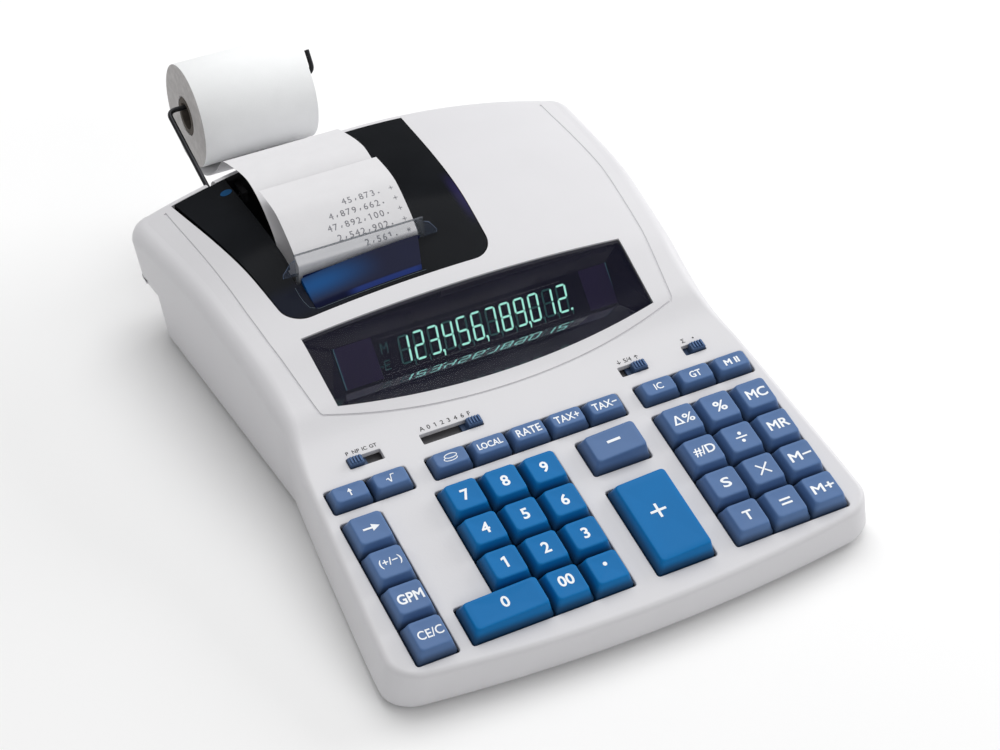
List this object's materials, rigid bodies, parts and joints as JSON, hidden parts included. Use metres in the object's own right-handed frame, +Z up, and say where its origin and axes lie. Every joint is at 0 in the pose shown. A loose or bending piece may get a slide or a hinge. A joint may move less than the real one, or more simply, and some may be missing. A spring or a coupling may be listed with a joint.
{
  "type": "printing calculator",
  "caption": "Desk printing calculator with sloping keyboard, hooded display, smoked printer cover and a paper roll on a wire arm.",
  "frame": {"origin": "on the table under the middle of the whole object's bounding box", "axes": "+X to the user's right, +Y from the user to the paper roll, +Z up"},
  "size_m": [0.2284, 0.3608, 0.0993],
  "materials": {
    "case_white": "satin moulded",
    "base_grey": "moulded",
    "key_blue": "satin",
    "key_steel_blue": "satin",
    "smoked_plastic": "polished, tinted",
    "clear_blue": "polished, clear",
    "tube_dark": "polished",
    "ribbon_black": "moulded",
    "zinc_steel": "zinc plated",
    "gear_white": "moulded",
    "black_rubber": "ground",
    "paper_white": "matt",
    "core_card": "wound",
    "dark_wire": "blackened"
  },
  "bodies": {
    "case": {"top_case": "case_white", "base_case": "base_grey", "key_plate": "base_grey", "display_lens": "smoked_plastic", "display_tube": "tube_dark", "printer_frame": "zinc_steel", "ribbon_box": "ribbon_black", "paper_strip": "paper_white"},
    "cover": {"printer_cover": "smoked_plastic", "tear_bar": "clear_blue"},
    "arm": {"roll_arm": "dark_wire"},
    "roll": {"paper_roll": "paper_white", "roll_core": "core_card"},
    "platen": {"platen_roller": "black_rubber"},
    "pinion": {"drive_pinion": "gear_white"},
    "key_1": {"key_1": "key_blue"},
    "key_2": {"key_2": "key_blue"},
    "key_3": {"key_3": "key_blue"},
    "key_4": {"key_4": "key_blue"},
    "key_5": {"key_5": "key_blue"},
    "key_6": {"key_6": "key_blue"},
    "key_7": {"key_7": "key_blue"},
    "key_8": {"key_8": "key_blue"},
    "key_9": {"key_9": "key_blue"},
    "key_0": {"key_0": "key_blue"},
    "key_00": {"key_00": "key_blue"},
    "key_point": {"key_point": "key_blue"},
    "key_plus": {"key_plus": "key_blue"},
    "key_minus": {"key_minus": "key_steel_blue"},
    "key_clear": {"key_clear": "key_steel_blue"},
    "key_margin": {"key_margin": "key_steel_blue"},
    "key_sign": {"key_sign": "key_steel_blue"},
    "key_shift": {"key_shift": "key_steel_blue"},
    "key_total": {"key_total": "key_steel_blue"},
    "key_equals": {"key_equals": "key_steel_blue"},
    "key_memory_plus": {"key_memory_plus": "key_steel_blue"},
    "key_subtotal": {"key_subtotal": "key_steel_blue"},
    "key_multiply": {"key_multiply": "key_steel_blue"},
    "key_memory_minus": {"key_memory_minus": "key_steel_blue"},
    "key_number_date": {"key_number_date": "key_steel_blue"},
    "key_divide": {"key_divide": "key_steel_blue"},
    "key_memory_recall": {"key_memory_recall": "key_steel_blue"},
    "key_delta_percent": {"key_delta_percent": "key_steel_blue"},
    "key_percent": {"key_percent": "key_steel_blue"},
    "key_memory_clear": {"key_memory_clear": "key_steel_blue"},
    "key_up": {"key_up": "key_steel_blue"},
    "key_root": {"key_root": "key_steel_blue"},
    "key_paper_feed": {"key_paper_feed": "key_steel_blue"},
    "key_local": {"key_local": "key_steel_blue"},
    "key_rate": {"key_rate": "key_steel_blue"},
    "key_tax_plus": {"key_tax_plus": "key_steel_blue"},
    "key_tax_minus": {"key_tax_minus": "key_steel_blue"},
    "key_item_count": {"key_item_count": "key_steel_blue"},
    "key_grand_total": {"key_grand_total": "key_steel_blue"},
    "key_memory_two": {"key_memory_two": "key_steel_blue"},
    "knob_print_mode": {"knob_print_mode": "key_steel_blue"},
    "knob_decimals": {"knob_decimals": "key_steel_blue"},
    "knob_rounding": {"knob_rounding": "key_steel_blue"},
    "knob_item_adding": {"knob_item_adding": "key_steel_blue"}
  },
  "joints": [
    {"name": "key_1_press", "type": "slide", "parent": "case", "child": "key_1", "axis": [0, 0.1959, -0.9806], "range_m": [0, 0.0032], "stiffness_N_per_m": 250, "springref_m": -0.001},
    {"name": "key_2_press", "type": "slide", "parent": "case", "child": "key_2", "axis": [0, 0.1959, -0.9806], "range_m": [0, 0.0032], "stiffness_N_per_m": 250, "springref_m": -0.001},
    {"name": "key_3_press", "type": "slide", "parent": "case", "child": "key_3", "axis": [0, 0.1959, -0.9806], "range_m": [0, 0.0032], "stiffness_N_per_m": 250, "springref_m": -0.001},
    {"name": "key_4_press", "type": "slide", "parent": "case", "child": "key_4", "axis": [0, 0.1959, -0.9806], "range_m": [0, 0.0032], "stiffness_N_per_m": 250, "springref_m": -0.001},
    {"name": "key_5_press", "type": "slide", "parent": "case", "child": "key_5", "axis": [0, 0.1959, -0.9806], "range_m": [0, 0.0032], "stiffness_N_per_m": 250, "springref_m": -0.001},
    {"name": "key_6_press", "type": "slide", "parent": "case", "child": "key_6", "axis": [0, 0.1959, -0.9806], "range_m": [0, 0.0032], "stiffness_N_per_m": 250, "springref_m": -0.001},
    {"name": "key_7_press", "type": "slide", "parent": "case", "child": "key_7", "axis": [0, 0.1959, -0.9806], "range_m": [0, 0.0032], "stiffness_N_per_m": 250, "springref_m": -0.001},
    {"name": "key_8_press", "type": "slide", "parent": "case", "child": "key_8", "axis": [0, 0.1959, -0.9806], "range_m": [0, 0.0032], "stiffness_N_per_m": 250, "springref_m": -0.001},
    {"name": "key_9_press", "type": "slide", "parent": "case", "child": "key_9", "axis": [0, 0.1959, -0.9806], "range_m": [0, 0.0032], "stiffness_N_per_m": 250, "springref_m": -0.001},
    {"name": "key_0_press", "type": "slide", "parent": "case", "child": "key_0", "axis": [0, 0.1959, -0.9806], "range_m": [0, 0.0032], "stiffness_N_per_m": 250, "springref_m": -0.001},
    {"name": "key_00_press", "type": "slide", "parent": "case", "child": "key_00", "axis": [0, 0.1959, -0.9806], "range_m": [0, 0.0032], "stiffness_N_per_m": 250, "springref_m": -0.001},
    {"name": "key_point_press", "type": "slide", "parent": "case", "child": "key_point", "axis": [0, 0.1959, -0.9806], "range_m": [0, 0.0032], "stiffness_N_per_m": 250, "springref_m": -0.001},
    {"name": "key_plus_press", "type": "slide", "parent": "case", "child": "key_plus", "axis": [0, 0.1959, -0.9806], "range_m": [0, 0.0032], "stiffness_N_per_m": 250, "springref_m": -0.001},
    {"name": "key_minus_press", "type": "slide", "parent": "case", "child": "key_minus", "axis": [0, 0.1959, -0.9806], "range_m": [0, 0.0032], "stiffness_N_per_m": 250, "springref_m": -0.001},
    {"name": "key_clear_press", "type": "slide", "parent": "case", "child": "key_clear", "axis": [0, 0.1959, -0.9806], "range_m": [0, 0.0032], "stiffness_N_per_m": 250, "springref_m": -0.001},
    {"name": "key_margin_press", "type": "slide", "parent": "case", "child": "key_margin", "axis": [0, 0.1959, -0.9806], "range_m": [0, 0.0032], "stiffness_N_per_m": 250, "springref_m": -0.001},
    {"name": "key_sign_press", "type": "slide", "parent": "case", "child": "key_sign", "axis": [0, 0.1959, -0.9806], "range_m": [0, 0.0032], "stiffness_N_per_m": 250, "springref_m": -0.001},
    {"name": "key_shift_press", "type": "slide", "parent": "case", "child": "key_shift", "axis": [0, 0.1959, -0.9806], "range_m": [0, 0.0032], "stiffness_N_per_m": 250, "springref_m": -0.001},
    {"name": "key_total_press", "type": "slide", "parent": "case", "child": "key_total", "axis": [0, 0.1959, -0.9806], "range_m": [0, 0.0032], "stiffness_N_per_m": 250, "springref_m": -0.001},
    {"name": "key_equals_press", "type": "slide", "parent": "case", "child": "key_equals", "axis": [0, 0.1959, -0.9806], "range_m": [0, 0.0032], "stiffness_N_per_m": 250, "springref_m": -0.001},
    {"name": "key_memory_plus_press", "type": "slide", "parent": "case", "child": "key_memory_plus", "axis": [0, 0.1959, -0.9806], "range_m": [0, 0.0032], "stiffness_N_per_m": 250, "springref_m": -0.001},
    {"name": "key_subtotal_press", "type": "slide", "parent": "case", "child": "key_subtotal", "axis": [0, 0.1959, -0.9806], "range_m": [0, 0.0032], "stiffness_N_per_m": 250, "springref_m": -0.001},
    {"name": "key_multiply_press", "type": "slide", "parent": "case", "child": "key_multiply", "axis": [0, 0.1959, -0.9806], "range_m": [0, 0.0032], "stiffness_N_per_m": 250, "springref_m": -0.001},
    {"name": "key_memory_minus_press", "type": "slide", "parent": "case", "child": "key_memory_minus", "axis": [0, 0.1959, -0.9806], "range_m": [0, 0.0032], "stiffness_N_per_m": 250, "springref_m": -0.001},
    {"name": "key_number_date_press", "type": "slide", "parent": "case", "child": "key_number_date", "axis": [0, 0.1959, -0.9806], "range_m": [0, 0.0032], "stiffness_N_per_m": 250, "springref_m": -0.001},
    {"name": "key_divide_press", "type": "slide", "parent": "case", "child": "key_divide", "axis": [0, 0.1959, -0.9806], "range_m": [0, 0.0032], "stiffness_N_per_m": 250, "springref_m": -0.001},
    {"name": "key_memory_recall_press", "type": "slide", "parent": "case", "child": "key_memory_recall", "axis": [0, 0.1959, -0.9806], "range_m": [0, 0.0032], "stiffness_N_per_m": 250, "springref_m": -0.001},
    {"name": "key_delta_percent_press", "type": "slide", "parent": "case", "child": "key_delta_percent", "axis": [0, 0.1959, -0.9806], "range_m": [0, 0.0032], "stiffness_N_per_m": 250, "springref_m": -0.001},
    {"name": "key_percent_press", "type": "slide", "parent": "case", "child": "key_percent", "axis": [0, 0.1959, -0.9806], "range_m": [0, 0.0032], "stiffness_N_per_m": 250, "springref_m": -0.001},
    {"name": "key_memory_clear_press", "type": "slide", "parent": "case", "child": "key_memory_clear", "axis": [0, 0.1959, -0.9806], "range_m": [0, 0.0032], "stiffness_N_per_m": 250, "springref_m": -0.001},
    {"name": "key_up_press", "type": "slide", "parent": "case", "child": "key_up", "axis": [0, 0.1959, -0.9806], "range_m": [0, 0.0032], "stiffness_N_per_m": 250, "springref_m": -0.001},
    {"name": "key_root_press", "type": "slide", "parent": "case", "child": "key_root", "axis": [0, 0.1959, -0.9806], "range_m": [0, 0.0032], "stiffness_N_per_m": 250, "springref_m": -0.001},
    {"name": "key_paper_feed_press", "type": "slide", "parent": "case", "child": "key_paper_feed", "axis": [0, 0.1959, -0.9806], "range_m": [0, 0.0032], "stiffness_N_per_m": 250, "springref_m": -0.001},
    {"name": "key_local_press", "type": "slide", "parent": "case", "child": "key_local", "axis": [0, 0.1959, -0.9806], "range_m": [0, 0.0032], "stiffness_N_per_m": 250, "springref_m": -0.001},
    {"name": "key_rate_press", "type": "slide", "parent": "case", "child": "key_rate", "axis": [0, 0.1959, -0.9806], "range_m": [0, 0.0032], "stiffness_N_per_m": 250, "springref_m": -0.001},
    {"name": "key_tax_plus_press", "type": "slide", "parent": "case", "child": "key_tax_plus", "axis": [0, 0.1959, -0.9806], "range_m": [0, 0.0032], "stiffness_N_per_m": 250, "springref_m": -0.001},
    {"name": "key_tax_minus_press", "type": "slide", "parent": "case", "child": "key_tax_minus", "axis": [0, 0.1959, -0.9806], "range_m": [0, 0.0032], "stiffness_N_per_m": 250, "springref_m": -0.001},
    {"name": "key_item_count_press", "type": "slide", "parent": "case", "child": "key_item_count", "axis": [0, 0.1959, -0.9806], "range_m": [0, 0.0032], "stiffness_N_per_m": 250, "springref_m": -0.001},
    {"name": "key_grand_total_press", "type": "slide", "parent": "case", "child": "key_grand_total", "axis": [0, 0.1959, -0.9806], "range_m": [0, 0.0032], "stiffness_N_per_m": 250, "springref_m": -0.001},
    {"name": "key_memory_two_press", "type": "slide", "parent": "case", "child": "key_memory_two", "axis": [0, 0.1959, -0.9806], "range_m": [0, 0.0032], "stiffness_N_per_m": 250, "springref_m": -0.001},
    {"name": "knob_print_mode_slide", "type": "slide", "parent": "case", "child": "knob_print_mode", "axis": [1, 0, 0], "range_m": [0, 0.0087]},
    {"name": "knob_decimals_slide", "type": "slide", "parent": "case", "child": "knob_decimals", "axis": [-1, 0, 0], "range_m": [0, 0.0212]},
    {"name": "knob_rounding_slide", "type": "slide", "parent": "case", "child": "knob_rounding", "axis": [-1, 0, 0], "range_m": [0, 0.0059]},
    {"name": "knob_item_adding_slide", "type": "slide", "parent": "case", "child": "knob_item_adding", "axis": [-1, 0, 0], "range_m": [0, 0.0032]},
    {"name": "cover_hinge", "type": "hinge", "parent": "case", "child": "cover", "pos_m": [-0.0346, 0.10565, 0.0764], "axis": [-1, 0, 0], "range_deg": [0, 65]},
    {"name": "arm_hinge", "type": "hinge", "parent": "case", "child": "arm", "pos_m": [-0.0368, 0.10365, 0.0595], "axis": [1, 0, 0], "range_deg": [0, 30], "deforming": ["paper_strip"]},
    {"name": "roll_spin", "type": "hinge", "parent": "arm", "child": "roll", "pos_m": [-0.0368, 0.15515, 0.0741], "axis": [1, 0, 0], "continuous": true},
    {"name": "platen_spin", "type": "hinge", "parent": "case", "child": "platen", "pos_m": [-0.0368, 0.03065, 0.057], "axis": [1, 0, 0], "continuous": true},
    {"name": "pinion_spin", "type": "hinge", "parent": "case", "child": "pinion", "pos_m": [-0.0033, 0.03732, 0.04782], "axis": [1, 0, 0], "continuous": true}
  ],
  "couplings": [
    {"joint": "pinion_spin", "follows": "platen_spin", "ratio": -1.6667}
  ]
}
